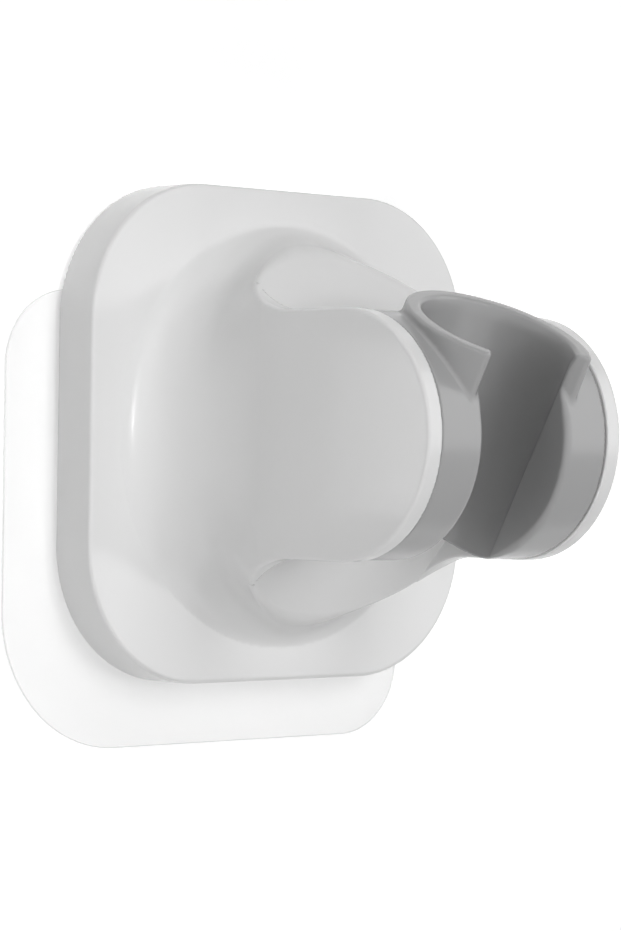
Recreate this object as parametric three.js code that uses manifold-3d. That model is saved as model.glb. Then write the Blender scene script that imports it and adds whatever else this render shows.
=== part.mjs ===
// Wall holder for a hand shower, stuck to the wall with a clear adhesive film.
// A white moulded base carries a grey cup between two cheeks. The cup turns about
// a level axis on two spring-loaded pins, and two rubber rings hold its tilt.
// Millimetres. X runs along the wall, -Y points out of the wall, +Z is up.
// The origin lies on the wall, behind the middle of the base.

import * as THREE from 'three';
import { mergeVertices } from 'three/addons/utils/BufferGeometryUtils.js';
import Module from 'manifold-3d';

const wasm = await Module();
wasm.setup();

// Adhesive film
const filmWidth = 79.6;
const filmHeight = 69.2;
const filmThickness = 0.4;
const filmCentreX = -7.9;
const filmCentreZ = -13.3;
const filmCornerRadius = 11.6;
const filmRoundCornerRadius = 21.5;

// Base: wall plate, flare and fork
const plateSide = 76;
const plateCornerRadius = 21.1;
const plateThickness = 8.1;
const plateDraft = 0.16;
const plateEdgeRound = 1.1;
const plateMargin = 4.8;
const flareDrop = 5.7;
const flareSquareness = 6;
const flareSquaringRate = 5;
const forkRootTurn = 60;
const forkRootShare = 0.65;
const forkFillet = 4.5;
const shellWall = 2.6;
const rampAngle = 46;
const cheekThickness = 3.3;
const cheekOverhang = 0.2;
const cheekEdgeRound = 0.7;

// Ribs, screw bosses and back plate inside the base
const ribThickness = 1.5;
const ribSpacing = 18;
const bossInset = 14;
const bossWall = 2.2;
const bossSkin = 1.2;
const backPlateThickness = 2.2;
const backPlateClearance = 0.3;
const screwHeadRadius = 2.6;
const screwHeadDepth = 1.5;
const screwShankRadius = 1.25;
const screwTipGap = 0.9;
const screwSink = 0.2;
const screwClearance = 0.15;
const recessLength = 3.1;
const recessBreadth = 0.8;
const recessDepth = 0.55;

// Cup: drum, collar, socket and slot
const drumReach = 42.5;
const drumRadius = 18.1;
const drumEdgeRound = 0.7;
const drumEndPlay = 0.4;
const bayClearance = 0.5;
const restTilt = 28.1;
const socketOffset = 3.5;
const socketRadius = 11.4;
const socketTaper = 0.5;
const leadInFlare = 0.9;
const leadInDepth = 3.2;
const collarWall = 1.85;
const collarRise = 0.8;
const collarEdgeRound = 0.8;
const slotWidth = 16.8;
const collarGap = 20.4;

// Pivot: bush, pin and spring in each end of the drum, and a rubber friction ring
const socketWall = 1.2;
const pivotDepth = 3.7;
const bushWall = 1.2;
const bushLip = 1.1;
const pinRadius = 2.2;
const pinWall = 0.6;
const pinShoulderStep = 0.7;
const pinShoulderLength = 1.2;
const pinEngagement = 1.2;
const pinEndWall = 1.3;
const pinTipRound = 0.4;
const pivotClearance = 0.1;
const springWireRadius = 0.22;
const springTurns = 3.5;
const ringInset = 4.9;
const ringWidth = 1.6;
const ringGrooveDepth = 1.6;
const ringClearance = 0.2;
const ringRunningGap = 0.05;

// Facets
const outlineSteps = 72;
const hollowSteps = 40;
const drumSteps = 72;
const collarSteps = 60;
const pivotSteps = 20;

// Places worked out from the sizes above
const degrees = Math.PI / 180;
const plateBack = -filmThickness;
const plateHalf = plateSide / 2;
const plateFront = plateBack - plateThickness;
const drumY = plateBack - drumReach;
const drumHalf = socketRadius + socketWall + pivotDepth;
const cheekInner = drumHalf + drumEndPlay;
const cheekOuter = cheekInner + cheekThickness;
const cheekRadius = drumRadius + cheekOverhang;
const bayRadius = drumRadius + bayClearance;
const flareRadius = plateHalf - plateMargin;
const flareHalfHeight = flareRadius - flareDrop;
const flareEnd = drumY + cheekRadius / Math.tan(rampAngle * degrees);
const flareLength = plateFront - flareEnd;
const backPlateInner = plateBack - backPlateThickness;
const screwLength = plateThickness - bossSkin - screwTipGap - screwSink;
const leadInRadius = socketRadius + leadInFlare;
const collarRadius = leadInRadius + collarWall;
const collarHeight = drumRadius + collarRise;
const bushInner = drumHalf - pivotDepth;
const pinShoulderRadius = pinRadius + pinShoulderStep;
const pinBoreRadius = pinRadius - pinWall;
const bushRadius = pinShoulderRadius + pivotClearance + bushWall;
const ringRadius = drumRadius - ringInset;
const farAway = 2 * (plateSide + drumReach);

// Solid modelling helpers

function solid(geometry) {
  const bare = geometry.clone();
  bare.deleteAttribute('normal');
  bare.deleteAttribute('uv');
  const merged = mergeVertices(bare, 1e-5);
  const index = merged.index.array;
  const triangles = [];
  for (let i = 0; i < index.length; i += 3) {
    const [a, b, c] = [index[i], index[i + 1], index[i + 2]];
    if (a !== b && b !== c && c !== a) triangles.push(a, b, c);
  }
  const vertices = new Float32Array(merged.attributes.position.array);
  if (signedVolume(vertices, triangles) < 0) triangles.reverse();
  return new wasm.Manifold(new wasm.Mesh({
    numProp: 3,
    vertProperties: vertices,
    triVerts: new Uint32Array(triangles),
  }));
}

function signedVolume(vertices, triangles) {
  const corner = (i) => new THREE.Vector3().fromArray(vertices, 3 * triangles[i]);
  let volume = 0;
  for (let i = 0; i < triangles.length; i += 3) {
    volume += corner(i).dot(corner(i + 1).cross(corner(i + 2))) / 6;
  }
  return volume;
}

function geometryOf(body) {
  const mesh = body.getMesh();
  const geometry = new THREE.BufferGeometry();
  const positions = new Float32Array(mesh.vertProperties);
  geometry.setAttribute('position', new THREE.BufferAttribute(positions, 3));
  geometry.setIndex(new THREE.BufferAttribute(new Uint32Array(mesh.triVerts), 1));
  geometry.computeVertexNormals();
  return geometry;
}

// A closed skin through rings that all have the same number of points.
function loft(rings) {
  const count = rings[0].length;
  const points = rings.flat();
  const index = [];
  for (let r = 0; r + 1 < rings.length; r += 1) {
    for (let i = 0; i < count; i += 1) {
      const next = (i + 1) % count;
      const a = r * count + i;
      const b = r * count + next;
      index.push(a, b, b + count, a, b + count, a + count);
    }
  }
  const last = (rings.length - 1) * count;
  const middle = (ring) => ring
    .reduce((sum, point) => sum.add(point), new THREE.Vector3())
    .divideScalar(count);
  points.push(middle(rings[0]), middle(rings[rings.length - 1]));
  for (let i = 0; i < count; i += 1) {
    const next = (i + 1) % count;
    index.push(points.length - 2, next, i);
    index.push(points.length - 1, last + i, last + next);
  }
  const geometry = new THREE.BufferGeometry().setFromPoints(points);
  geometry.setIndex(index);
  return geometry;
}

// A prism whose outline is drawn as seen from the front and that grows towards -Y.
function frontPrism(shape, y, depth) {
  const geometry = new THREE.ExtrudeGeometry(shape, { depth, bevelEnabled: false, curveSegments: 12 });
  geometry.rotateX(Math.PI / 2);
  geometry.translate(0, y, 0);
  return geometry;
}

// A prism whose outline is drawn in Y and Z and that spans both sides of X = 0.
function sidePrism(shape, halfWidth, options = {}) {
  const { round = 0, curveSegments = 24 } = options;
  const geometry = new THREE.ExtrudeGeometry(shape, {
    depth: 2 * (halfWidth - round),
    bevelEnabled: round > 0,
    bevelThickness: round,
    bevelSize: round,
    bevelOffset: -round,
    bevelSegments: 3,
    curveSegments,
  });
  geometry.translate(0, 0, round - halfWidth);
  const outline = new THREE.Matrix4().makeBasis(
    new THREE.Vector3(0, 1, 0),
    new THREE.Vector3(0, 0, 1),
    new THREE.Vector3(1, 0, 0),
  );
  return geometry.applyMatrix4(outline);
}

function lathe(profile, steps) {
  return new THREE.LatheGeometry(profile.map(([r, h]) => new THREE.Vector2(r, h)), steps);
}

function latheAboutX(profile, steps) {
  return lathe(profile, steps).rotateZ(-Math.PI / 2);
}

function latheAboutZ(profile, steps) {
  return lathe(profile, steps).rotateX(Math.PI / 2);
}

function ringAboutX(inner, outer, from, to, steps) {
  const profile = [[inner, from], [outer, from], [outer, to], [inner, to], [inner, from]];
  return latheAboutX(profile, steps);
}

// Points of a quarter circle that rounds a corner, from one tangent to the other.
function cornerArc(centreR, centreH, radius, startAngle, endAngle, steps = 4) {
  const points = [];
  for (let i = 0; i <= steps; i += 1) {
    const angle = (startAngle + (endAngle - startAngle) * (i / steps)) * degrees;
    points.push([centreR + radius * Math.cos(angle), centreH + radius * Math.sin(angle)]);
  }
  return points;
}

// Outlines

// Distance from the middle to the edge of a square with round corners.
function roundedSquare(half, corner) {
  const inset = half - corner;
  return (angle) => {
    const c = Math.abs(Math.cos(angle));
    const s = Math.abs(Math.sin(angle));
    const flat = half / Math.max(c, s);
    if (flat * Math.min(c, s) <= inset) return flat;
    const along = inset * (c + s);
    return along + Math.sqrt(along * along - 2 * inset * inset + corner * corner);
  };
}

// Distance from the middle to the edge of an oval that a higher power makes squarer.
function squareOval(halfWidth, halfHeight, power) {
  return (angle) => {
    const across = Math.abs(Math.cos(angle) / halfWidth) ** power;
    const up = Math.abs(Math.sin(angle) / halfHeight) ** power;
    return (across + up) ** (-1 / power);
  };
}

function ring(outline, y, steps) {
  const points = [];
  for (let i = 0; i < steps; i += 1) {
    const angle = (i / steps) * 2 * Math.PI;
    const radius = outline(angle);
    points.push(new THREE.Vector3(radius * Math.cos(angle), y, radius * Math.sin(angle)));
  }
  return points;
}

// Section of the flare, from the plate at turn 0 to the fork at turn 90.
function flareSection(turn, inset) {
  const sine = Math.sin(turn * degrees);
  const halfWidth = cheekOuter + (flareRadius - cheekOuter) * (1 - sine) - inset;
  const halfHeight = flareHalfHeight + (flareRadius - flareHalfHeight) * (1 - sine) - inset;
  const power = 2 + (flareSquareness - 2) * (turn / 90) ** flareSquaringRate;
  return squareOval(halfWidth, halfHeight, power);
}

function flareY(turn) {
  return plateFront - flareLength * (1 - Math.cos(turn * degrees));
}

// The space in front of the two sloping ramps, drawn in Y and Z, as far back as backY.
function rampSpace(apexY, backY) {
  const rise = (backY - apexY) * Math.tan(rampAngle * degrees);
  const front = apexY - farAway;
  const shape = new THREE.Shape();
  shape.moveTo(apexY, 0);
  shape.lineTo(backY, rise);
  shape.lineTo(front, rise);
  shape.lineTo(front, -rise);
  shape.lineTo(backY, -rise);
  shape.closePath();
  return shape;
}

function drumCircle(radius) {
  const shape = new THREE.Shape();
  shape.absarc(drumY, 0, radius, 0, 2 * Math.PI);
  return shape;
}

// Base

function plateAndFlare() {
  const front = plateHalf - plateDraft;
  const rings = [
    ring(roundedSquare(plateHalf, plateCornerRadius), plateBack, outlineSteps),
  ];
  const edge = cornerArc(front - plateEdgeRound, plateThickness - plateEdgeRound, plateEdgeRound, 0, 90);
  for (const [half, depth] of edge) {
    const corner = plateCornerRadius - (plateHalf - half);
    rings.push(ring(roundedSquare(half, corner), plateBack - depth, outlineSteps));
  }
  for (const turn of [0, 8, 16, 26, 36, 46, 56, 66, 76, 90]) {
    rings.push(ring(flareSection(turn, 0), flareY(turn), outlineSteps));
  }
  return solid(loft(rings));
}

// Both cheeks in one piece, narrower where it is rooted in the flare and filleted into the ramps.
function forkTongue() {
  const rootY = flareY(forkRootTurn);
  const rootHalf = forkRootShare * cheekRadius;
  const filletStart = flareEnd - forkFillet * Math.tan(rampAngle * degrees / 2);
  const fillet = cornerArc(filletStart, cheekRadius + forkFillet, forkFillet, rampAngle - 90, -90);
  const shape = new THREE.Shape();
  shape.moveTo(rootY, rootHalf);
  for (const [y, z] of fillet) shape.lineTo(y, z);
  shape.lineTo(drumY, cheekRadius);
  shape.absarc(drumY, 0, cheekRadius, Math.PI / 2, 1.5 * Math.PI);
  for (const [y, z] of fillet.reverse()) shape.lineTo(y, -z);
  shape.lineTo(rootY, -rootHalf);
  shape.closePath();
  return solid(sidePrism(shape, cheekOuter, { round: cheekEdgeRound, curveSegments: 32 }));
}

// The room that the drum and its collar turn in, between the cheeks.
function drumBay() {
  const round = solid(sidePrism(drumCircle(bayRadius), cheekInner, { curveSegments: 36 }));
  const open = solid(sidePrism(rampSpace(drumY, plateFront), cheekInner));
  return round.add(open);
}

function screwPlaces() {
  const half = plateHalf - bossInset;
  return [[-half, half], [half, half], [-half, -half], [half, -half]];
}

function bossAt(x, z, radius, from, to) {
  const profile = [[0, -from], [radius, -from], [radius, -to], [0, -to]];
  const geometry = lathe(profile, pivotSteps).rotateX(Math.PI).translate(x, 0, z);
  return solid(geometry);
}

// The hollow behind the skin, less the ribs and screw bosses that stand in it.
function baseHollow() {
  const half = plateHalf - shellWall;
  const mouth = roundedSquare(half, plateCornerRadius - shellWall);
  const rings = [
    ring(mouth, plateBack + shellWall, hollowSteps),
    ring(mouth, plateFront + shellWall, hollowSteps),
  ];
  for (const turn of [0, 22, 45, 67, 90]) {
    rings.push(ring(flareSection(turn, shellWall), flareY(turn) + shellWall, hollowSteps));
  }
  let hollow = solid(loft(rings));
  const apexShift = shellWall / Math.sin(rampAngle * degrees);
  const rampWall = rampSpace(drumY + apexShift, plateFront + shellWall);
  hollow = hollow.subtract(solid(sidePrism(rampWall, plateSide)));
  hollow = hollow.subtract(solid(sidePrism(drumCircle(bayRadius + shellWall), plateSide)));
  for (const side of [-1, 1]) {
    const upright = new THREE.BoxGeometry(ribThickness, drumReach, plateSide);
    const level = new THREE.BoxGeometry(plateSide, drumReach, ribThickness);
    const ribY = backPlateInner - drumReach / 2;
    hollow = hollow.subtract(solid(upright.translate(side * ribSpacing / 2, ribY, 0)));
    hollow = hollow.subtract(solid(level.translate(0, ribY, side * ribSpacing / 2)));
  }
  const pilotRadius = screwShankRadius + screwClearance;
  for (const [x, z] of screwPlaces()) {
    const boss = bossAt(x, z, pilotRadius + bossWall, backPlateInner, plateFront);
    const pilot = bossAt(x, z, pilotRadius, plateBack, plateFront + bossSkin);
    hollow = hollow.subtract(boss).add(pilot);
  }
  return hollow;
}

function pinSocket(side) {
  const from = cheekInner - drumEndPlay;
  const to = cheekInner + pinEngagement + pivotClearance;
  const radius = pinRadius + pivotClearance;
  const profile = [[0, from], [radius, from], [radius, to], [0, to]];
  const geometry = latheAboutX(profile, pivotSteps);
  if (side < 0) geometry.rotateY(Math.PI);
  return solid(geometry.translate(0, drumY, 0));
}

function baseShell() {
  const wedge = solid(sidePrism(rampSpace(drumY, plateFront), plateSide));
  let body = plateAndFlare().subtract(wedge);
  body = body.add(forkTongue());
  body = body.subtract(drumBay());
  body = body.subtract(baseHollow());
  body = body.subtract(pinSocket(-1)).subtract(pinSocket(1));
  return geometryOf(body);
}

// Back plate and its screws

function backPlate() {
  const half = plateHalf - shellWall - backPlateClearance;
  const corner = plateCornerRadius - shellWall - backPlateClearance;
  const outline = roundedSquare(half, corner);
  let body = solid(loft([
    ring(outline, plateBack, hollowSteps),
    ring(outline, backPlateInner, hollowSteps),
  ]));
  for (const [x, z] of screwPlaces()) body = body.subtract(screwHole(x, z));
  return geometryOf(body);
}

function screwHole(x, z) {
  const head = screwHeadRadius + screwClearance;
  const shank = screwShankRadius + screwClearance;
  const seat = screwSink + screwHeadDepth;
  const beyond = backPlateThickness + screwSink;
  const profile = [
    [0, -screwSink], [head, -screwSink], [head, screwSink], [shank, seat], [shank, beyond], [0, beyond],
  ];
  return solid(lathe(profile, pivotSteps).rotateX(Math.PI).translate(x, plateBack, z));
}

function plateScrew(x, z) {
  const seat = screwSink + screwHeadDepth;
  const tip = screwSink + screwLength;
  const profile = [
    [0, screwSink], [screwHeadRadius, screwSink], [screwShankRadius, seat],
    [screwShankRadius, tip - screwShankRadius], [0, tip],
  ];
  let body = solid(lathe(profile, pivotSteps).rotateX(Math.PI));
  for (const [across, up] of [[recessLength, recessBreadth], [recessBreadth, recessLength]]) {
    const recess = new THREE.BoxGeometry(across, 2 * recessDepth, up).translate(0, -screwSink, 0);
    body = body.subtract(solid(recess));
  }
  return geometryOf(body).translate(x, plateBack, z);
}

// Film on the wall

function adhesiveFilm() {
  const [left, right] = [filmCentreX - filmWidth / 2, filmCentreX + filmWidth / 2];
  const [low, high] = [filmCentreZ - filmHeight / 2, filmCentreZ + filmHeight / 2];
  const r = filmCornerRadius;
  const big = filmRoundCornerRadius;
  const shape = new THREE.Shape();
  shape.absarc(left + big, low + big, big, Math.PI, 1.5 * Math.PI);
  shape.absarc(right - r, low + r, r, 1.5 * Math.PI, 2 * Math.PI);
  shape.absarc(right - r, high - r, r, 0, 0.5 * Math.PI);
  shape.absarc(left + r, high - r, r, 0.5 * Math.PI, Math.PI);
  shape.closePath();
  return geometryOf(solid(frontPrism(shape, 0, filmThickness)));
}

// Cup, built upright about the drum's axis

function drumBody() {
  const r = drumEdgeRound;
  const near = cornerArc(drumRadius - r, r - drumHalf, r, -90, 0);
  const far = cornerArc(drumRadius - r, drumHalf - r, r, 0, 90);
  return solid(latheAboutX([[0, -drumHalf], ...near, ...far, [0, drumHalf]], drumSteps));
}

function collarBody() {
  const r = collarEdgeRound;
  const rim = cornerArc(collarRadius - r, collarHeight - r, r, 0, 90);
  const geometry = latheAboutZ([[0, 0], [collarRadius, 0], ...rim, [0, collarHeight]], collarSteps);
  return solid(geometry.translate(0, -socketOffset, 0));
}

function socketBore() {
  const below = -drumRadius - socketOffset;
  const above = collarHeight + leadInDepth;
  const leadIn = [];
  const steps = 4;
  for (let i = 0; i <= steps; i += 1) {
    const share = i / steps;
    const radius = socketRadius + leadInFlare * share * share;
    leadIn.push([radius, collarHeight - leadInDepth * (1 - share)]);
  }
  const foot = socketRadius - socketTaper;
  const profile = [[0, below], [foot, below], ...leadIn, [leadInRadius, above], [0, above]];
  return solid(latheAboutZ(profile, collarSteps).translate(0, -socketOffset, 0));
}

// The front slot, from the middle of the socket out through the drum or the collar.
function slotCut(width) {
  const half = width / 2;
  const reach = 2 * drumRadius;
  const shape = new THREE.Shape();
  shape.moveTo(-half, -reach);
  shape.lineTo(half, -reach);
  shape.lineTo(half, reach);
  shape.lineTo(-half, reach);
  shape.closePath();
  return solid(frontPrism(shape, -socketOffset, reach));
}

function swivelCup() {
  let body = collarBody().subtract(slotCut(collarGap)).add(drumBody());
  body = body.subtract(socketBore()).subtract(slotCut(slotWidth));
  const grooveFloor = drumHalf - ringGrooveDepth;
  const inner = ringRadius - ringWidth / 2 - ringClearance;
  const outer = ringRadius + ringWidth / 2 + ringClearance;
  for (const side of [-1, 1]) {
    const groove = ringAboutX(inner, outer, grooveFloor, cheekInner, drumSteps);
    const profile = [
      [0, bushInner], [bushRadius + pivotClearance, bushInner],
      [bushRadius + pivotClearance, cheekInner], [0, cheekInner],
    ];
    const bore = latheAboutX(profile, pivotSteps);
    for (const cut of [groove, bore]) {
      if (side < 0) cut.rotateY(Math.PI);
      body = body.subtract(solid(cut));
    }
  }
  return geometryOf(body);
}

// Pivot pieces, built for the +X end and turned round for the other end

const bushFace = drumHalf;
const bushStart = bushInner + pivotClearance;
const pinTip = cheekInner + pinEngagement;
const shoulderFace = bushFace - bushLip - pivotClearance;
const shoulderStart = shoulderFace - pinShoulderLength;

function pivotBush() {
  const mouth = pinRadius + pivotClearance;
  const inside = pinShoulderRadius + pivotClearance;
  const lip = bushFace - bushLip;
  const profile = [
    [inside, bushStart], [bushRadius, bushStart], [bushRadius, bushFace],
    [mouth, bushFace], [mouth, lip], [inside, lip], [inside, bushStart],
  ];
  return latheAboutX(profile, pivotSteps);
}

function pivotPin() {
  const nose = cornerArc(pinRadius - pinTipRound, pinTip - pinTipRound, pinTipRound, 0, 90, 2);
  const floor = pinTip - pinEndWall;
  const profile = [
    [0, floor], [pinBoreRadius, floor], [pinBoreRadius, shoulderStart],
    [pinShoulderRadius, shoulderStart], [pinShoulderRadius, shoulderFace], [pinRadius, shoulderFace],
    ...nose, [0, pinTip],
  ];
  return latheAboutX(profile, pivotSteps);
}

class SpringCurve extends THREE.Curve {
  constructor(radius, from, to, turns) {
    super();
    this.radius = radius;
    this.from = from;
    this.to = to;
    this.turns = turns;
  }

  getPoint(t, target = new THREE.Vector3()) {
    const angle = 2 * Math.PI * this.turns * t;
    const along = this.from + (this.to - this.from) * t;
    return target.set(along, this.radius * Math.cos(angle), this.radius * Math.sin(angle));
  }
}

function pivotSpring() {
  const seat = springWireRadius + pivotClearance;
  const coilRadius = pinBoreRadius - seat;
  const from = bushInner + seat;
  const to = pinTip - pinEndWall - seat;
  const wire = new THREE.Shape();
  wire.absarc(0, 0, springWireRadius, 0, 2 * Math.PI);
  const path = new SpringCurve(coilRadius, from, to, springTurns);
  return new THREE.ExtrudeGeometry(wire, {
    steps: Math.round(8 * springTurns),
    curveSegments: 3,
    extrudePath: path,
    bevelEnabled: false,
  });
}

function frictionRing() {
  const from = drumHalf - ringGrooveDepth + ringRunningGap;
  const to = cheekInner - ringRunningGap;
  const half = ringWidth / 2;
  const crown = cornerArc(ringRadius, to - half, half, 0, 180);
  const profile = [[ringRadius - half, from], [ringRadius + half, from], ...crown, [ringRadius - half, from]];
  return latheAboutX(profile, drumSteps / 2);
}

// Assembly

function finish(color, roughness, metalness) {
  return new THREE.MeshStandardMaterial({ color, roughness, metalness });
}

const finishes = {
  whitePlastic: () => finish(0xf1f1f1, 0.22, 0),
  greyPlastic: () => finish(0xa6a7a8, 0.25, 0),
  platePlastic: () => finish(0xdedede, 0.45, 0),
  clearFilm: () => finish(0xf7f7f7, 0.15, 0),
  steel: () => finish(0xb9bcc0, 0.3, 1),
  acetal: () => finish(0xe9e6dc, 0.4, 0),
  rubber: () => finish(0x2b2b2b, 0.8, 0),
};

function addPiece(group, name, geometry, material) {
  const mesh = new THREE.Mesh(geometry, material);
  mesh.name = name;
  group.add(mesh);
}

const holder = new THREE.Group();
addPiece(holder, 'base_shell', baseShell(), finishes.whitePlastic());
addPiece(holder, 'back_plate', backPlate(), finishes.platePlastic());
addPiece(holder, 'adhesive_film', adhesiveFilm(), finishes.clearFilm());
const screwNames = ['upper_left', 'upper_right', 'lower_left', 'lower_right'];
screwPlaces().forEach(([x, z], i) => {
  addPiece(holder, `plate_screw_${screwNames[i]}`, plateScrew(x, z), finishes.steel());
});

const cup = new THREE.Group();
cup.position.set(0, drumY, 0);
cup.rotation.x = restTilt * degrees;
addPiece(cup, 'swivel_cup', swivelCup(), finishes.greyPlastic());
for (const [side, turn] of [['right', 0], ['left', Math.PI]]) {
  const end = new THREE.Group();
  end.rotation.y = turn;
  addPiece(end, `pivot_bush_${side}`, geometryOf(solid(pivotBush())), finishes.acetal());
  addPiece(end, `pivot_pin_${side}`, geometryOf(solid(pivotPin())), finishes.steel());
  addPiece(end, `pivot_spring_${side}`, geometryOf(solid(pivotSpring())), finishes.steel());
  addPiece(end, `friction_ring_${side}`, geometryOf(solid(frictionRing())), finishes.rubber());
  cup.add(end);
}
holder.add(cup);

export default holder;
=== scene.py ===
# %% [markdown]
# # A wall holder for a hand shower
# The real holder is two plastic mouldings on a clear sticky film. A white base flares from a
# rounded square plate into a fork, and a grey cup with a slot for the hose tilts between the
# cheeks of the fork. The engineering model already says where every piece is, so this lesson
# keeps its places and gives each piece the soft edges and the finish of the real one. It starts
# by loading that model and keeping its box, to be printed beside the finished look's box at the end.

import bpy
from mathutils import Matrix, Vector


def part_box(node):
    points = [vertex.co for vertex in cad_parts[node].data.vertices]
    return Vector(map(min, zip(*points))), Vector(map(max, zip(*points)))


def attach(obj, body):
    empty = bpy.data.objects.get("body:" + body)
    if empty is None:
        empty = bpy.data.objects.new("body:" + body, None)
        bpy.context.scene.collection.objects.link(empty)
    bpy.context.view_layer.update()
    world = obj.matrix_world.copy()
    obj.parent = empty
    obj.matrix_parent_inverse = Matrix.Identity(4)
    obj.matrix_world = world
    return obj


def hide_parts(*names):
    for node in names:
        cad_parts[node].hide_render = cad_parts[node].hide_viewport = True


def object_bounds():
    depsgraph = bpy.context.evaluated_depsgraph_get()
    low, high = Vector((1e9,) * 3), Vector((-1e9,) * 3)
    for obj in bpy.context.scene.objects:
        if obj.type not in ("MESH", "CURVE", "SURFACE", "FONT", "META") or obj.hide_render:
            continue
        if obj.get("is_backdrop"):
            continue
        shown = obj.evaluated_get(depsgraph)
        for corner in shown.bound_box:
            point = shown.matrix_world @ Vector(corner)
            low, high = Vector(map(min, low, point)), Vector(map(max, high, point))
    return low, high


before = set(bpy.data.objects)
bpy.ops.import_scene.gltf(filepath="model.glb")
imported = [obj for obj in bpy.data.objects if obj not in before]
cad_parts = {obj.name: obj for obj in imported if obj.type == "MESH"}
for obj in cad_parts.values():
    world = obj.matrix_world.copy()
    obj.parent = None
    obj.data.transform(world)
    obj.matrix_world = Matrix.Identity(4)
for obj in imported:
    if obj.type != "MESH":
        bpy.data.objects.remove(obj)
cad_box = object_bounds()
print("nodes:", ", ".join(sorted(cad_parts)))
print("box in mm:", [[round(1000 * c, 1) for c in corner] for corner in cad_box])

# %% [markdown]
# ## The camera
# A product picture like this one is taken with a long lens from a little to the left, level with
# the holder. The camera could be aimed by hand, but its place here was worked out from the
# outline of the square plate, so the place and the three directions of the camera are written
# down as they are. A long lens keeps the plate's edges nearly parallel, as they are in the
# picture.

# %% Place the camera
import math

import bpy
import numpy as np
from mathutils import Matrix, Vector

IMAGE_HEIGHT = 931
FOCAL_PIXELS = 3212.27
SENSOR_HEIGHT = 36.0
CAMERA_PLACE = (-0.32851, -0.38388, -0.00355)

scene = bpy.context.scene
scene.view_settings.view_transform = "Standard"

camera_right = Vector((0.74708, -0.66457, 0.01497))
camera_up = Vector((-0.00980, 0.01151, 0.99989))
camera_back = camera_right.cross(camera_up)
camera_data = bpy.data.cameras.new("camera")
camera_data.sensor_fit = "VERTICAL"
camera_data.sensor_height = SENSOR_HEIGHT
camera_data.lens = FOCAL_PIXELS * SENSOR_HEIGHT / IMAGE_HEIGHT
camera_data.clip_start = 0.01
camera = bpy.data.objects.new("camera", camera_data)
camera.matrix_world = Matrix((camera_right, camera_up, camera_back)).transposed().to_4x4()
camera.matrix_world.translation = CAMERA_PLACE
scene.collection.objects.link(camera)
scene.camera = camera
print("lens in mm:", round(camera_data.lens, 1))

# %% [markdown]
# ## Forms made of distances
# The base and the cup are soft, flowing mouldings: surfaces run into each other, and every edge
# is a small radius. Bevels on joined meshes often break where three surfaces meet. Here each form
# is instead a rule that gives, for any point, how far it is from the skin, below zero inside.
# Such forms join and cut with a radius of one's choice, and they never break. All lengths in
# these rules are in millimetres.

# %% Join and cut forms with a radius
def rounded_overlap(a, b, radius):
    """What two forms share, with the edge between them rounded."""
    corner = np.hypot(np.maximum(a + radius, 0), np.maximum(b + radius, 0))
    return np.minimum(-radius, np.maximum(a, b)) + corner


def filleted_join(a, b, radius):
    """Two forms together, with the inner corner between them filled to a radius."""
    corner = np.hypot(np.maximum(radius - a, 0), np.maximum(radius - b, 0))
    return np.maximum(radius, np.minimum(a, b)) - corner


def rounded_square(across, up, half, corner):
    """Distance to the outline of a square with round corners, for points of the first quarter."""
    past = np.hypot(np.maximum(across - half + corner, 0), np.maximum(up - half + corner, 0))
    return past + np.minimum(np.maximum(across, up) - half + corner, 0) - corner


print("a square corner cut to a radius of 1 mm:", round(float(rounded_overlap(0.0, 0.0, 1.0)), 3))

# %% [markdown]
# ## From a form to a mesh
# A form has no faces yet. The space around it is divided into small cells, and each cell that the
# skin passes through gets one point; four neighbouring points make a face. Each point is then
# moved along the form's own slope until it lies on the skin, and the slope also gives the
# direction that the surface faces there, so the shading is as smooth as the form itself however
# small or large the cells are.

# %% The slope of a form and the cells on its skin
SLOPE_STEP = 0.01
CELL_CORNERS = [(i, j, k) for i in (0, 1) for j in (0, 1) for k in (0, 1)]


def slope_of(form, points):
    """Direction in which the form's distance grows, at each point."""
    slope = np.empty_like(points)
    for axis in range(3):
        shift = np.zeros(3)
        shift[axis] = SLOPE_STEP
        slope[:, axis] = form(*(points + shift).T) - form(*(points - shift).T)
    return slope / (2 * SLOPE_STEP)


def crossed_cells(inside):
    """Number of each cell that the skin passes through, and -1 in all the others."""
    cells = [n - 1 for n in inside.shape]
    count = np.zeros(cells, dtype=np.int8)
    for i, j, k in CELL_CORNERS:
        count += inside[i:i + cells[0], j:j + cells[1], k:k + cells[2]]
    number = np.full(cells, -1)
    crossed = (count > 0) & (count < len(CELL_CORNERS))
    number[crossed] = np.arange(crossed.sum())
    return number


print("each cell has", len(CELL_CORNERS), "corners")


# %% Points and faces of a skin
def cell_points(depth, places):
    """Middle of the crossings on each cell's twelve edges, counted in cells."""
    total = np.zeros((len(places), 3))
    hits = np.zeros((len(places), 1))
    for axis, along in enumerate(np.eye(3, dtype=int)):
        for side in [(0, 0), (0, 1), (1, 0), (1, 1)]:
            start = np.insert(side, axis, 0)
            near = depth[tuple((places + start).T)]
            far = depth[tuple((places + start + along).T)]
            crossing = (near < 0) != (far < 0)
            share = near[crossing] / (near - far)[crossing]
            total[crossing] += start + share[:, None] * along
            hits[crossing] += 1
    return places + total / hits


def cell_faces(inside, number):
    """Four-sided faces, one for each grid edge that the skin crosses."""
    faces = []
    for turn in [(0, 1, 2), (1, 2, 0), (2, 0, 1)]:
        state = inside.transpose(turn)
        cell = number.transpose(turn)
        start = state[:-1, 1:-1, 1:-1]
        i, j, k = np.nonzero(start != state[1:, 1:-1, 1:-1])
        corners = [cell[i, j, k], cell[i, j + 1, k], cell[i, j + 1, k + 1], cell[i, j, k + 1]]
        quad = np.stack(corners, axis=1)
        leaving = start[i, j, k]
        faces += [quad[leaving], quad[~leaving][:, ::-1]]
    return np.concatenate(faces)


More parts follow.
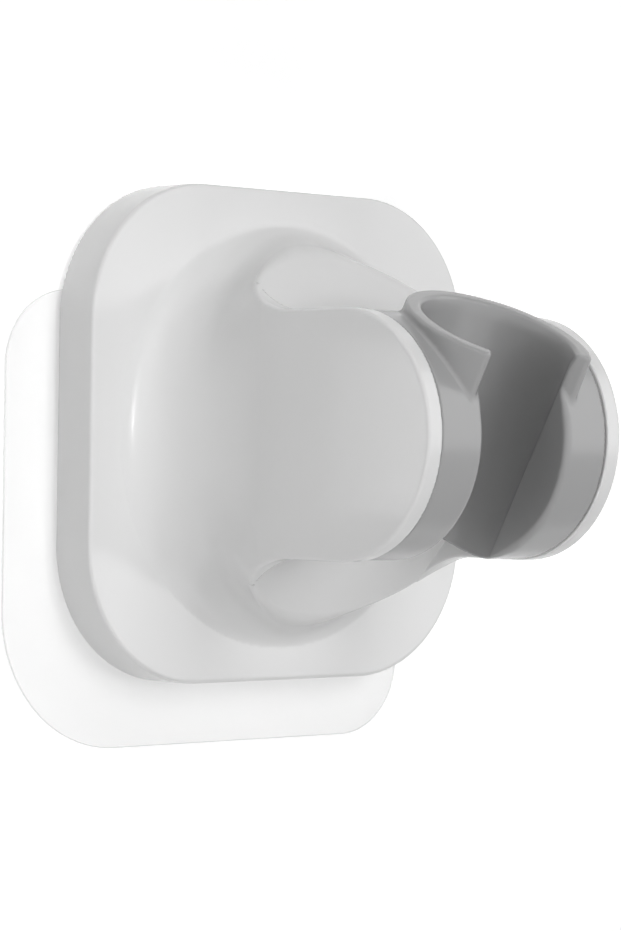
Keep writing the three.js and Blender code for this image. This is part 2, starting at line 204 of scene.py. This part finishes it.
# %% Skin a form
MM = 0.001
CELLS_BEFORE, CELLS_AFTER = 1.5, 2.5
SETTLING_ROUNDS = 4
LEAST_STEEPNESS = 0.1


def skin(form, low, high, cell):
    """Points, faces and facing directions of a form's skin inside a box."""
    axes = [
        np.arange(start - CELLS_BEFORE * cell, end + CELLS_AFTER * cell, cell)
        for start, end in zip(low, high)
    ]
    depth = form(*np.meshgrid(*axes, indexing="ij"))
    number = crossed_cells(depth < 0)
    points = cell_points(depth, np.argwhere(number >= 0)) * cell + [axis[0] for axis in axes]
    for _ in range(SETTLING_ROUNDS):
        slope = slope_of(form, points)
        steepness = np.maximum((slope ** 2).sum(axis=1), LEAST_STEEPNESS)
        points -= slope * (form(*points.T) / steepness)[:, None]
    facing = slope_of(form, points)
    facing /= np.linalg.norm(facing, axis=1)[:, None]
    return points, cell_faces(depth < 0, number), facing


def piece_from_skin(name, points, faces, facing):
    """A smooth piece with its points in metres, in the engineering model's frame."""
    mesh = bpy.data.meshes.new(name)
    mesh.from_pydata((points * MM).tolist(), [], faces.tolist())
    mesh.polygons.foreach_set("use_smooth", np.ones(len(faces), dtype=bool))
    mesh.normals_split_custom_set_from_vertices(facing.tolist())
    piece = bpy.data.objects.new(name, mesh)
    scene.collection.objects.link(piece)
    print(name, "has", len(points), "points and", len(faces), "faces")
    return piece


# %% [markdown]
# ## The white base
# The base is one moulding: a square plate with very round corners, a trumpet that narrows from
# the plate to the width of the fork, and two flat cheeks with round ends. Two sloping ramps,
# above and below, are cut into the trumpet so that the hand shower and its hose clear it. The
# trumpet could be lofted from a row of outlines; as a form it is an oval that grows squarer as it
# narrows, which also keeps the ridges along the ramps smooth.

# %% Sizes of the base
PLATE_HALF = 38.0
PLATE_CORNER = 21.1
PLATE_BACK = -0.4
PLATE_FRONT = -8.5
PLATE_DRAFT = 0.05
PLATE_EDGE_ROUND = 0.5
DRUM_Y = -42.9
RAMP_ANGLE = math.radians(46)
CHEEK_INNER = 16.7
CHEEK_OUTER = 20.0
CHEEK_RADIUS = 18.3
CHEEK_EDGE_ROUND = 0.5
FLARE_RADIUS = 33.2
FLARE_TALL = 27.5
FLARE_SQUARENESS = 6.0
FLARE_SQUARING_RATE = 5
FLARE_END = DRUM_Y + CHEEK_RADIUS / math.tan(RAMP_ANGLE)
FLARE_LENGTH = PLATE_FRONT - FLARE_END
FLARE_SINK = 0.01
RIDGE_ROUND = (0.6, 1.2)

base_low, base_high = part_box("base_shell")
print("base in the engineering model, mm:", [round(c / MM, 2) for c in (*base_low, *base_high)])


# %% The plate
def plate_form(x, y, z):
    draft = PLATE_DRAFT * (PLATE_BACK - y) / (PLATE_BACK - PLATE_FRONT)
    outline = rounded_square(x, z, PLATE_HALF - draft, PLATE_CORNER)
    return rounded_overlap(outline, PLATE_FRONT - y, PLATE_EDGE_ROUND)


print("plate is", 2 * PLATE_HALF, "mm square and", round(PLATE_BACK - PLATE_FRONT, 1), "mm thick")


# %% The trumpet
FLARE_LEAST_SLOPE = 0.001


def flare_measure(x, y, z):
    """Zero on the trumpet's skin. It isn't a length yet."""
    rise = np.clip((PLATE_FRONT + FLARE_SINK - y) / FLARE_LENGTH, 0, 1)
    turn = np.arccos(1 - rise)
    narrowing = 1 - np.sin(turn)
    wide = CHEEK_OUTER + (FLARE_RADIUS - CHEEK_OUTER) * narrowing
    tall = FLARE_TALL + (FLARE_RADIUS - FLARE_TALL) * narrowing
    power = 2 + (FLARE_SQUARENESS - 2) * (turn / (math.pi / 2)) ** FLARE_SQUARING_RATE
    return ((x / wide) ** power + (z / tall) ** power) ** (1 / power) - 1


def flare_form(x, y, z):
    measure = flare_measure(x, y, z)
    steepness = np.sqrt(sum(
        (flare_measure(x + dx, y + dy, z + dz) - measure) ** 2
        for dx, dy, dz in np.eye(3) * SLOPE_STEP
    )) / SLOPE_STEP
    return measure / np.maximum(steepness, FLARE_LEAST_SLOPE)


print("trumpet is", round(FLARE_LENGTH, 1), "mm long and", 2 * CHEEK_OUTER, "mm wide at the fork")


# %% The fork
BAY_RADIUS = 18.6
BAY_EDGE_ROUND = 0.3
CHEEK_ROOT = PLATE_FRONT - FLARE_LENGTH / 2
CHEEK_FILLET = 4.3
CHEEK_CROWN = 0.0004


def cheek_form(x, y, z, side, ramp):
    """A cheek between the trumpet's side and the bay, its top and bottom filleted into the ramps."""
    reach = np.where(y < DRUM_Y, np.hypot(y - DRUM_Y, z), z)
    outline = filleted_join(reach - CHEEK_RADIUS, ramp, CHEEK_FILLET)
    cheek = rounded_overlap(outline, side, CHEEK_EDGE_ROUND)
    cheek = rounded_overlap(cheek, CHEEK_INNER - x, BAY_EDGE_ROUND)
    return np.maximum(cheek, y - CHEEK_ROOT)


print("the cheeks stand", 2 * CHEEK_INNER, "mm apart")


# %% Holes that the other pieces hide
PIN_HOLE_RADIUS = 2.3
PIN_HOLE_END = 18.0
RECESS_HALF = 35.4
RECESS_CORNER = 18.5
RECESS_FLOOR = -3.0
BOSS_PLACE = 24.0
PILOT_RADIUS = 1.4
PILOT_FLOOR = -7.3


def hidden_holes(x, y, z):
    """Pin holes in the cheeks, and the recess and screw holes behind the plate."""
    pin_hole = np.maximum(np.hypot(y - DRUM_Y, z) - PIN_HOLE_RADIUS, x - PIN_HOLE_END)
    recess = np.maximum(rounded_square(x, z, RECESS_HALF, RECESS_CORNER), RECESS_FLOOR - y)
    pilot = np.maximum(np.hypot(x - BOSS_PLACE, z - BOSS_PLACE) - PILOT_RADIUS, PILOT_FLOOR - y)
    return np.minimum(np.minimum(pin_hole, recess), pilot)


print("the recess for the back plate is", round(PLATE_BACK - RECESS_FLOOR, 1), "mm deep")


# %% The whole base
BASE_CELL = 0.36


def base_form(x, y, z):
    x, z = np.abs(x), np.abs(z)
    ramp = z * math.cos(RAMP_ANGLE) - (y - DRUM_Y) * math.sin(RAMP_ANGLE)
    crown = CHEEK_CROWN * np.maximum(FLARE_END - y, 0) ** 2
    side = flare_form(x + crown, y, z)
    ridge_round = np.interp(z, (CHEEK_RADIUS, FLARE_TALL), RIDGE_ROUND)
    flare = rounded_overlap(side, ramp, ridge_round)
    outside = np.minimum(np.minimum(plate_form(x, y, z), flare), cheek_form(x, y, z, side, ramp))
    bay = np.maximum(np.hypot(y - DRUM_Y, z) - BAY_RADIUS, x - CHEEK_INNER)
    body = rounded_overlap(outside, -bay, BAY_EDGE_ROUND)
    body = np.maximum(body, y - PLATE_BACK)
    return np.maximum(body, -hidden_holes(x, y, z))


base = piece_from_skin("white_base", *skin(base_form, base_low / MM, base_high / MM, BASE_CELL))
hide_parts("base_shell")
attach(base, "base")

# %% [markdown]
# ## The grey cup
# The cup is a short drum lying on its side, with a collar that stands up from it, a tapered
# socket right through both and a slot down the front that lets the hose in. It could be turned
# and cut with boolean modifiers, but the crease between collar and drum and the softly broken
# edges of the slot are easier as forms. The form is made upright about the drum's axis, and the
# finished skin is then leaned forward to where the cup rests.

# %% Sizes of the cup
DRUM_RADIUS = 18.1
DRUM_HALF = 16.6
DRUM_EDGE_ROUND = 0.3
COLLAR_RADIUS = 14.15
COLLAR_HEIGHT = 18.9
COLLAR_RIM_SLOPE = 0.048
COLLAR_END_ANGLE = math.radians(41)
COLLAR_END_ROUND = 1.0
COLLAR_EDGE_ROUND = 0.5
COLLAR_FILLET = 0.5
SOCKET_OFFSET = 3.5
SOCKET_RADIUS = 11.4
SOCKET_TAPER = 0.5
LEAD_IN_FLARE = 0.5
LEAD_IN_DEPTH = 2.4
SLOT_HALF = 8.4
SLOT_EDGE_ROUND = 1.0
SOCKET_EDGE_ROUND = 0.45
EDGE_CHANGE = 2.0
REST_TILT = math.radians(28.1)
print("socket is", 2 * SOCKET_RADIUS, "mm across and the slot", 2 * SLOT_HALF, "mm wide")


# %% The drum with its collar
SLOT_REACH = math.sqrt(SOCKET_RADIUS ** 2 - SLOT_HALF ** 2)
RING_RADIUS = 13.2
RING_GROOVE_HALF = 1.0
RING_GROOVE_FLOOR = 14.7
BUSH_BORE_RADIUS = 4.3
BUSH_BORE_FLOOR = 12.6


def rim_height(forward):
    """Height of the collar's rim, which rises a little towards the front."""
    return COLLAR_HEIGHT + COLLAR_RIM_SLOPE * (forward - SOCKET_OFFSET + COLLAR_RADIUS)


def drum_form(x, forward, up):
    round_distance = np.hypot(forward, up)
    drum = rounded_overlap(round_distance - DRUM_RADIUS, x - DRUM_HALF, DRUM_EDGE_ROUND)
    collar_round = np.hypot(x, forward - SOCKET_OFFSET) - COLLAR_RADIUS
    across, along = x - SLOT_HALF, forward - SOCKET_OFFSET - SLOT_REACH
    gap = across * math.cos(COLLAR_END_ANGLE) - along * math.sin(COLLAR_END_ANGLE)
    collar = rounded_overlap(collar_round, -gap, COLLAR_END_ROUND)
    collar = rounded_overlap(collar, up - rim_height(forward), COLLAR_EDGE_ROUND)
    both = filleted_join(drum, np.maximum(collar, -up), COLLAR_FILLET)
    ring = np.abs(round_distance - RING_RADIUS) - RING_GROOVE_HALF
    groove = np.maximum(ring, RING_GROOVE_FLOOR - x)
    bore = np.maximum(round_distance - BUSH_BORE_RADIUS, BUSH_BORE_FLOOR - x)
    return np.maximum(both, -np.minimum(groove, bore))


print("the collar stands", round(rim_height(0) - DRUM_RADIUS, 1), "mm above the drum")


# %% The socket and the slot
def socket_form(x, forward, up):
    foot = -DRUM_RADIUS - SOCKET_OFFSET
    below = np.clip((COLLAR_HEIGHT - up) / (COLLAR_HEIGHT - foot), 0, 1)
    above = np.clip(1 - (rim_height(forward) - up) / LEAD_IN_DEPTH, 0, 1)
    radius = SOCKET_RADIUS - SOCKET_TAPER * below + LEAD_IN_FLARE * above ** 2
    return np.hypot(x, forward - SOCKET_OFFSET) - radius


def cup_form(x, forward, up):
    x = np.abs(x)
    slot = np.maximum(x - SLOT_HALF, SOCKET_OFFSET - forward)
    socket = socket_form(x, forward, up)
    edge_round = np.interp(socket - slot, (0, EDGE_CHANGE), (SOCKET_EDGE_ROUND, SLOT_EDGE_ROUND))
    return rounded_overlap(drum_form(x, forward, up), -np.minimum(socket, slot), edge_round)


print("the socket narrows by", SOCKET_TAPER, "mm and widens by", LEAD_IN_FLARE, "mm at its rim")


# %% Skin the cup and lean it forward
CUP_CELL = 0.38
CUP_MARGIN = 1
cup_reach = DRUM_RADIUS + CUP_MARGIN
cup_low = (-DRUM_HALF, -cup_reach, -cup_reach)
cup_high = (DRUM_HALF, cup_reach, rim_height(cup_reach))
cup_points, cup_faces, cup_facing = skin(cup_form, cup_low, cup_high, CUP_CELL)
lean = np.array([
    (1, 0, 0),
    (0, -math.cos(REST_TILT), -math.sin(REST_TILT)),
    (0, -math.sin(REST_TILT), math.cos(REST_TILT)),
])
cup_points = cup_points @ lean + (0, DRUM_Y, 0)
cup = piece_from_skin("grey_cup", cup_points, cup_faces[:, ::-1], cup_facing @ lean)
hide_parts("swivel_cup")
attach(cup, "cup")

# %% [markdown]
# ## The clear film and the back plate
# The film on the wall and the plate that closes the base's back are flat sheets with round
# corners. Both could be extruded faces. A flat, filled curve does it with less work: it takes
# holes as extra outlines, and its bevel rounds every rim. The curve is turned into a mesh at the
# end, so that its rim can have a finish of its own.

# %% Outlines with round corners
def arc(centre, radius, start, end, steps):
    angles = np.radians(np.linspace(start, end, steps + 1))
    return np.array(centre) + radius * np.stack([np.cos(angles), np.sin(angles)], axis=1)


def round_corners(low, high, radii, steps=24):
    """Outline of a rectangle; the radii go round from the lower left corner."""
    signs = [(1, 1), (-1, 1), (-1, -1), (1, -1)]
    corners = [(low[0], low[1]), (high[0], low[1]), (high[0], high[1]), (low[0], high[1])]
    runs = []
    for turn, (corner, sign, radius) in enumerate(zip(corners, signs, radii)):
        centre = np.array(corner) + radius * np.array(sign)
        runs.append(arc(centre, radius, 180 + 90 * turn, 270 + 90 * turn, steps))
    return np.concatenate(runs)


print("a quarter circle in 24 steps has", len(arc((0, 0), 1, 0, 90, 24)), "points")


# %% Sheets from outlines
SHARP_EDGE = math.radians(40)


def sheet_from_outlines(name, outlines, back, thickness, rim_round):
    """A flat sheet that faces the room, with its back at the given Y."""
    curve = bpy.data.curves.new(name, "CURVE")
    curve.dimensions = "2D"
    curve.fill_mode = "BOTH"
    curve.extrude = (thickness / 2 - rim_round) * MM
    curve.bevel_depth = rim_round * MM
    curve.bevel_resolution = 3
    curve.offset = -rim_round * MM
    for outline in outlines:
        spline = curve.splines.new("POLY")
        spline.points.add(len(outline) - 1)
        for point, (across, up) in zip(spline.points, outline):
            point.co = (across * MM, up * MM, 0, 1)
        spline.use_cyclic_u = True
    shape = bpy.data.objects.new(name, curve)
    mesh = bpy.data.meshes.new_from_object(shape)
    upright = Matrix.Rotation(math.pi / 2, 4, "X")
    mesh.transform(Matrix.Translation((0, (back - thickness / 2) * MM, 0)) @ upright)
    bpy.data.objects.remove(shape)
    mesh.shade_smooth()
    mesh.set_sharp_from_angle(angle=SHARP_EDGE)
    sheet = bpy.data.objects.new(name, mesh)
    scene.collection.objects.link(sheet)
    print(name, "has", len(mesh.polygons), "faces")
    return sheet


# %% The film
FILM_LOW = (-47.7, -47.9)
FILM_HIGH = (31.9, 21.3)
FILM_RADII = (21.5, 11.6, 11.6, 11.6)
FILM_THICKNESS = 0.4
FILM_RIM_ROUND = 0.12
film_outline = round_corners(FILM_LOW, FILM_HIGH, FILM_RADII)
film = sheet_from_outlines("clear_film", [film_outline], 0, FILM_THICKNESS, FILM_RIM_ROUND)
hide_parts("adhesive_film")
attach(film, "base")

# %% The back plate
BACK_PLATE_HALF = 35.1
BACK_PLATE_CORNER = 18.2
BACK_PLATE_THICKNESS = 2.2
BACK_PLATE_RIM_ROUND = 0.3
SCREW_HOLE_RADIUS = 2.75
SCREW_HOLE_STEPS = 48
plate_low, plate_high = (-BACK_PLATE_HALF, -BACK_PLATE_HALF), (BACK_PLATE_HALF, BACK_PLATE_HALF)
plate_outline = round_corners(plate_low, plate_high, [BACK_PLATE_CORNER] * 4)
screw_places = {
    "upper_left": (-BOSS_PLACE, BOSS_PLACE),
    "upper_right": (BOSS_PLACE, BOSS_PLACE),
    "lower_left": (-BOSS_PLACE, -BOSS_PLACE),
    "lower_right": (BOSS_PLACE, -BOSS_PLACE),
}
last_angle = 360 - 360 / SCREW_HOLE_STEPS
holes = [
    arc(place, SCREW_HOLE_RADIUS, 0, last_angle, SCREW_HOLE_STEPS - 1)
    for place in screw_places.values()
]
back_plate = sheet_from_outlines(
    "moulded_back_plate", [plate_outline, *holes],
    PLATE_BACK, BACK_PLATE_THICKNESS, BACK_PLATE_RIM_ROUND)
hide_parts("back_plate")
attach(back_plate, "base")

# %% [markdown]
# ## The screws
# Four small countersunk screws hold the back plate. A lathed profile would do for the outside,
# but the crossed recess and the thread are easier as forms: the recess is two crossed slots that
# narrow with depth, and the thread is a shank whose radius rises and falls along a helix.

# %% The form of a screw
SCREW_HEAD_RADIUS = 2.6
SCREW_HEAD_TOP = 0.2
SCREW_HEAD_DEPTH = 1.5
SCREW_SHANK_RADIUS = 1.2
SCREW_LENGTH = 5.8
THREAD_PITCH = 1.0
THREAD_HEIGHT = 0.16
THREAD_LEAST_RADIUS = 0.4
RECESS_LENGTH = 1.55
RECESS_BREADTH = 0.4
RECESS_DEPTH = 0.75
RECESS_TAPER = 0.5
SCREW_EDGE_ROUND = 0.12
RECESS_EDGE_ROUND = 0.08
CONE_STEEPNESS = 0.7
THREAD_STEEPNESS = 0.6


def screw_form(x, y, z):
    """A screw that points to -Y, with its head at the origin."""
    depth = -y
    around = np.hypot(x, z)
    narrowing = (SCREW_HEAD_RADIUS - SCREW_SHANK_RADIUS) / SCREW_HEAD_DEPTH
    cone = (around - SCREW_HEAD_RADIUS + (depth - SCREW_HEAD_TOP) * narrowing) * CONE_STEEPNESS
    head = rounded_overlap(cone, SCREW_HEAD_TOP - depth, SCREW_EDGE_ROUND)
    helix = np.cos(np.arctan2(z, x) - 2 * math.pi * depth / THREAD_PITCH)
    tip = SCREW_HEAD_TOP + SCREW_LENGTH
    core = np.clip(tip - depth, 0, SCREW_SHANK_RADIUS)
    thread = THREAD_HEIGHT * helix * (core > THREAD_LEAST_RADIUS)
    shank = (around - core - thread) * THREAD_STEEPNESS
    shank = np.maximum(np.maximum(shank, SCREW_HEAD_TOP - depth), depth - tip)
    long_side = np.maximum(np.abs(x), np.abs(z)) - RECESS_LENGTH + RECESS_TAPER * depth
    short_side = np.minimum(np.abs(x), np.abs(z)) - RECESS_BREADTH
    recess = np.maximum(np.maximum(long_side, short_side), depth - RECESS_DEPTH - SCREW_HEAD_TOP)
    return rounded_overlap(np.minimum(head, shank), -recess, RECESS_EDGE_ROUND)


print("a screw is", SCREW_LENGTH, "mm long with a thread of", THREAD_PITCH, "mm pitch")

# %% One screw, four places
SCREW_CELL = 0.14
screw_low = np.array((-SCREW_HEAD_RADIUS, -SCREW_HEAD_TOP - SCREW_LENGTH, -SCREW_HEAD_RADIUS))
screw_high = np.array((SCREW_HEAD_RADIUS, 0, SCREW_HEAD_RADIUS))
screw_points, screw_faces, screw_facing = skin(screw_form, screw_low, screw_high, SCREW_CELL)
screws = []
for corner, (across, up) in screw_places.items():
    screw = piece_from_skin(
        "screw_" + corner, screw_points + (across, PLATE_BACK, up), screw_faces, screw_facing)
    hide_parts("plate_screw_" + corner)
    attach(screw, "base")
    screws.append(screw)

# %% [markdown]
# ## Finishes
# Moulded plastic is never one flat colour: its tone and its gloss drift a little from place to
# place, and the skin has a very fine waviness from the mould. Images could be painted for this;
# noise computed in the material needs no image and has the same scale on every piece. All three
# are gentle here, because the real pieces are clean and glossy.

# %% A moulded finish
NOISE_RANGE = (0.3, 0.7)
RIPPLE_HEIGHT = 0.00005


def moulded_plastic(name, pale, deep, gloss, waviness, tone_size=0.02, ripple_size=0.0012):
    """A plastic between two close colours, with a roughness range and a fine moulded skin."""
    material = bpy.data.materials.new(name)
    material.use_nodes = True
    nodes, links = material.node_tree.nodes, material.node_tree.links
    plastic = nodes["Principled BSDF"]
    places = nodes.new("ShaderNodeTexCoord")
    tone = nodes.new("ShaderNodeTexNoise")
    tone.inputs["Scale"].default_value = 1 / tone_size
    tone.inputs["Detail"].default_value = 3
    colours = nodes.new("ShaderNodeValToRGB")
    colours.color_ramp.elements[0].position = NOISE_RANGE[0]
    colours.color_ramp.elements[0].color = (*deep, 1)
    colours.color_ramp.elements[1].position = NOISE_RANGE[1]
    colours.color_ramp.elements[1].color = (*pale, 1)
    roughness = nodes.new("ShaderNodeMapRange")
    roughness.inputs["From Min"].default_value = NOISE_RANGE[0]
    roughness.inputs["From Max"].default_value = NOISE_RANGE[1]
    roughness.inputs["To Min"].default_value = gloss[0]
    roughness.inputs["To Max"].default_value = gloss[1]
    ripple = nodes.new("ShaderNodeTexNoise")
    ripple.inputs["Scale"].default_value = 1 / ripple_size
    ripple.inputs["Detail"].default_value = 2
    bump = nodes.new("ShaderNodeBump")
    bump.inputs["Strength"].default_value = waviness
    bump.inputs["Distance"].default_value = RIPPLE_HEIGHT
    for texture in (tone, ripple):
        links.new(places.outputs["Object"], texture.inputs["Vector"])
    links.new(tone.outputs["Fac"], colours.inputs["Fac"])
    links.new(colours.outputs["Color"], plastic.inputs["Base Color"])
    links.new(ripple.outputs["Fac"], roughness.inputs["Value"])
    links.new(roughness.outputs["Result"], plastic.inputs["Roughness"])
    links.new(ripple.outputs["Fac"], bump.inputs["Height"])
    links.new(bump.outputs["Normal"], plastic.inputs["Normal"])
    print("finish:", name)
    return material


# %% Moulded plastics
white_plastic = moulded_plastic(
    "glossy white plastic", (0.802, 0.802, 0.802), (0.794, 0.794, 0.794), (0.15, 0.19), 0.008)
grey_plastic = moulded_plastic(
    "glossy grey plastic", (0.375, 0.375, 0.377), (0.368, 0.368, 0.371), (0.21, 0.25), 0.008)
plate_plastic = moulded_plastic(
    "satin white plastic", (0.74, 0.74, 0.73), (0.70, 0.70, 0.69), (0.42, 0.52), 0.25)
bearing_plastic = moulded_plastic(
    "bearing plastic", (0.80, 0.78, 0.72), (0.76, 0.74, 0.68), (0.35, 0.45), 0.1)
base.data.materials.append(white_plastic)
cup.data.materials.append(grey_plastic)
back_plate.data.materials.append(plate_plastic)

# %% Rubber and steel
rubber = moulded_plastic(
    "black rubber", (0.035, 0.035, 0.035), (0.022, 0.022, 0.022), (0.7, 0.85), 0.5, 0.004, 0.0004)
steel = moulded_plastic(
    "bright steel", (0.60, 0.61, 0.63), (0.52, 0.53, 0.55), (0.24, 0.36), 0.1, 0.003, 0.0003)
steel.node_tree.nodes["Principled BSDF"].inputs["Metallic"].default_value = 1
for screw in screws:
    screw.data.materials.append(steel)

# %% Finishes for the pieces inside the cup
inner_finishes = {
    "pivot_bush": bearing_plastic,
    "pivot_pin": steel,
    "pivot_spring": steel,
    "friction_ring": rubber,
}
for node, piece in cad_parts.items():
    for kind, finish in inner_finishes.items():
        if node.startswith(kind):
            piece.data.materials.clear()
            piece.data.materials.append(finish)
            print(node, "gets", finish.name)

# %% [markdown]
# ## The film's finish
# Clear film on a white wall nearly vanishes: it takes a little light away, and only its rim,
# where one looks through more of it, shows as a fine grey line. Real glass needs many bounces to
# look right when it is this thin, so the film is a glossy surface that lets most of the wall
# through, and its rim lets less through.

# %% Clear film
FILM_SHADE = 0.97
FLAT_ENOUGH = 0.99


def clear_sheet(name, tint, cover):
    """A clear finish; the cover is the share of the light that it holds back."""
    deep = [FILM_SHADE * c for c in tint]
    material = moulded_plastic(name, tint, deep, (0.10, 0.16), 0.05, 0.012, 0.002)
    material.node_tree.nodes["Principled BSDF"].inputs["Alpha"].default_value = cover
    return material


film.data.materials.append(clear_sheet("clear film", (0.72, 0.72, 0.72), 0.14))
film.data.materials.append(clear_sheet("film rim", (0.60, 0.60, 0.60), 0.3))
for face in film.data.polygons:
    face.material_index = 0 if abs(face.normal.y) > FLAT_ENOUGH else 1
print("rim faces:", sum(face.material_index for face in film.data.polygons))

# %% [markdown]
# ## The wall
# The picture was taken on pure white with only a breath of shadow around the plate. A big white
# wall stands behind the film. It is lit like the rest, and what the camera sees of it is lifted
# to white, so that only the shadow stays. Away from the holder the lift grows, because the lamps
# do not reach that far. Seen from behind, the wall is not there and stops no light, so the back
# of the holder can be looked at too.

# %% What the eye sees directly
def seen_directly(nodes, links):
    """One for what the camera sees, also in gloss and through clear pieces, else zero."""
    path = nodes.new("ShaderNodeLightPath")
    first = nodes.new("ShaderNodeMath")
    first.operation = "MAXIMUM"
    links.new(path.outputs["Is Camera Ray"], first.inputs[0])
    links.new(path.outputs["Is Glossy Ray"], first.inputs[1])
    second = nodes.new("ShaderNodeMath")
    second.operation = "MAXIMUM"
    links.new(first.outputs["Value"], second.inputs[0])
    links.new(path.outputs["Is Transmission Ray"], second.inputs[1])
    return second.outputs["Value"]


print("light path: camera, gloss and clear pieces")

# %% The wall's paint
WALL_LIFT = 0.34
LIFT_REACH = (0.15, 0.45)
wall_paint = bpy.data.materials.new("white wall")
wall_paint.use_nodes = True
nodes, links = wall_paint.node_tree.nodes, wall_paint.node_tree.links
nodes.remove(nodes["Principled BSDF"])
paint = nodes.new("ShaderNodeBsdfDiffuse")
paint.inputs["Color"].default_value = (0.88, 0.88, 0.88, 1)
lift = nodes.new("ShaderNodeEmission")
places = nodes.new("ShaderNodeTexCoord")
away = nodes.new("ShaderNodeVectorMath")
away.operation = "LENGTH"
growth = nodes.new("ShaderNodeMapRange")
growth.inputs["From Min"].default_value = LIFT_REACH[0]
growth.inputs["From Max"].default_value = LIFT_REACH[1]
growth.inputs["To Min"].default_value = WALL_LIFT
growth.inputs["To Max"].default_value = 1.0
links.new(places.outputs["Object"], away.inputs[0])
links.new(away.outputs["Value"], growth.inputs["Value"])
lift_strength = nodes.new("ShaderNodeMath")
lift_strength.operation = "MULTIPLY"
links.new(seen_directly(nodes, links), lift_strength.inputs[0])
links.new(growth.outputs["Result"], lift_strength.inputs[1])
links.new(lift_strength.outputs["Value"], lift.inputs["Strength"])
lit = nodes.new("ShaderNodeAddShader")
links.new(paint.outputs["BSDF"], lit.inputs[0])
links.new(lift.outputs["Emission"], lit.inputs[1])
nothing = nodes.new("ShaderNodeBsdfTransparent")
side = nodes.new("ShaderNodeNewGeometry")
either = nodes.new("ShaderNodeMixShader")
links.new(side.outputs["Backfacing"], either.inputs["Fac"])
links.new(lit.outputs["Shader"], either.inputs[1])
links.new(nothing.outputs["BSDF"], either.inputs[2])
links.new(either.outputs["Shader"], nodes["Material Output"].inputs["Surface"])
print("the wall is lifted by", WALL_LIFT, "near the holder and by 1 far from it")

# %% The wall
WALL_HALF = 2.0
WALL_Y = 0.0006
wall_mesh = bpy.data.meshes.new("wall")
wall_corners = [
    (side_x * WALL_HALF, WALL_Y, side_z * WALL_HALF)
    for side_x, side_z in [(-1, -1), (1, -1), (1, 1), (-1, 1)]
]
wall_mesh.from_pydata(wall_corners, [], [(0, 1, 2, 3)])
wall_mesh.materials.append(wall_paint)
wall = bpy.data.objects.new("wall", wall_mesh)
wall.visible_shadow = False
scene.collection.objects.link(wall)
wall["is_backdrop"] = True
print("the wall faces", [round(c) for c in wall_mesh.polygons[0].normal])

# %% The surround
world = bpy.data.worlds.new("surround")
world.use_nodes = True
nodes, links = world.node_tree.nodes, world.node_tree.links
sky = nodes["Background"]
sky.inputs["Color"].default_value = (1, 1, 1, 1)
links.new(seen_directly(nodes, links), sky.inputs["Strength"])
scene.world = world
print("the surround is white to the eye and gives no light")

# %% [markdown]
# ## Softboxes and cards
# A studio lights a glossy white piece with large soft lamps and gives its gloss separate pale
# cards to mirror. Here softboxes light the surfaces from every side, most of all from the front
# and the left. The right card is seen only in the gloss of the plate and the cup, and three small
# cards by the wall only in the gloss of the left cheek, which they brighten towards its front.
# One small lamp makes the glint on the flare.

# %% A flat lamp
def lamp(name, place, facing, size, power, in_gloss, on_surfaces=True, spread=180):
    """A flat lamp that may show in gloss, light surfaces, or both."""
    data = bpy.data.lights.new(name, "AREA")
    data.shape = "RECTANGLE"
    data.size, data.size_y = size
    data.energy = power
    data.spread = math.radians(spread)
    light = bpy.data.objects.new(name, data)
    light.location = place
    light.rotation_mode = "QUATERNION"
    light.rotation_quaternion = (-facing).to_track_quat("Z", "Y")
    light.visible_camera = False
    light.visible_glossy = in_gloss
    light.visible_diffuse = on_surfaces
    scene.collection.objects.link(light)
    print("lamp:", name, power, "W")


# %% The softboxes
LAMP_DISTANCE = 1.2
lamp_target = Vector((0, -0.03, 0))


def softbox(name, azimuth, elevation, size, power, in_gloss=False, on_surfaces=True):
    """A lamp aimed at the holder; azimuth 0 is straight in front and minus is to the left."""
    azimuth, elevation = math.radians(azimuth), math.radians(elevation)
    direction = Vector((math.sin(azimuth), -math.cos(azimuth), math.tan(elevation))).normalized()
    place = lamp_target + LAMP_DISTANCE * direction
    lamp(name, place, -direction, size, power, in_gloss, on_surfaces)


softbox("front softbox", 0, 16, (0.5, 0.8), 7.0)
softbox("left softbox", -30, -10, (0.5, 1.0), 3.1)
softbox("left side softbox", -86, 0, (0.5, 0.5), 2.2)
softbox("right side softbox", 86, 0, (0.5, 0.5), 2.2)
softbox("back softbox", 180, 10, (0.5, 0.5), 5.5)
softbox("low softbox", 0, -50, (0.5, 0.5), 2.6)
softbox("top softbox", 0, 58, (0.5, 0.5), 1.8)
softbox("right card", 47, 16, (0.7, 1.1), 3.8, in_gloss=True, on_surfaces=False)
softbox("glint", 7, 3, (0.03, 0.03), 0.4, in_gloss=True)

# %% Cards for the cheek's gloss
CARD_START = Vector((-0.0595, -0.0005, 0.002))
CARD_ALONG = Vector((-0.73, -0.68, 0))
CARD_FACING = Vector((0.68, -0.73, 0))
CARD_SIZE = (0.009, 0.03)
CARD_POWER = 0.00004
CARD_SPREAD = 40
for step in range(3):
    place = CARD_START + (step + 0.5) * CARD_SIZE[0] * CARD_ALONG
    power = (step + 1) * CARD_POWER
    lamp("card %d" % (step + 1), place, CARD_FACING, CARD_SIZE, power, True, False, CARD_SPREAD)

# %% [markdown]
# ## The two boxes
# The box of the finished look is printed beside the box of the engineering model.

# %% Print both boxes
visual_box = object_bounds()
boxes = {"cad": [list(corner) for corner in cad_box], "visual": [list(corner) for corner in visual_box]}
for name, box in boxes.items():
    print(name, "box in mm:", [[round(c / MM, 2) for c in corner] for corner in box])
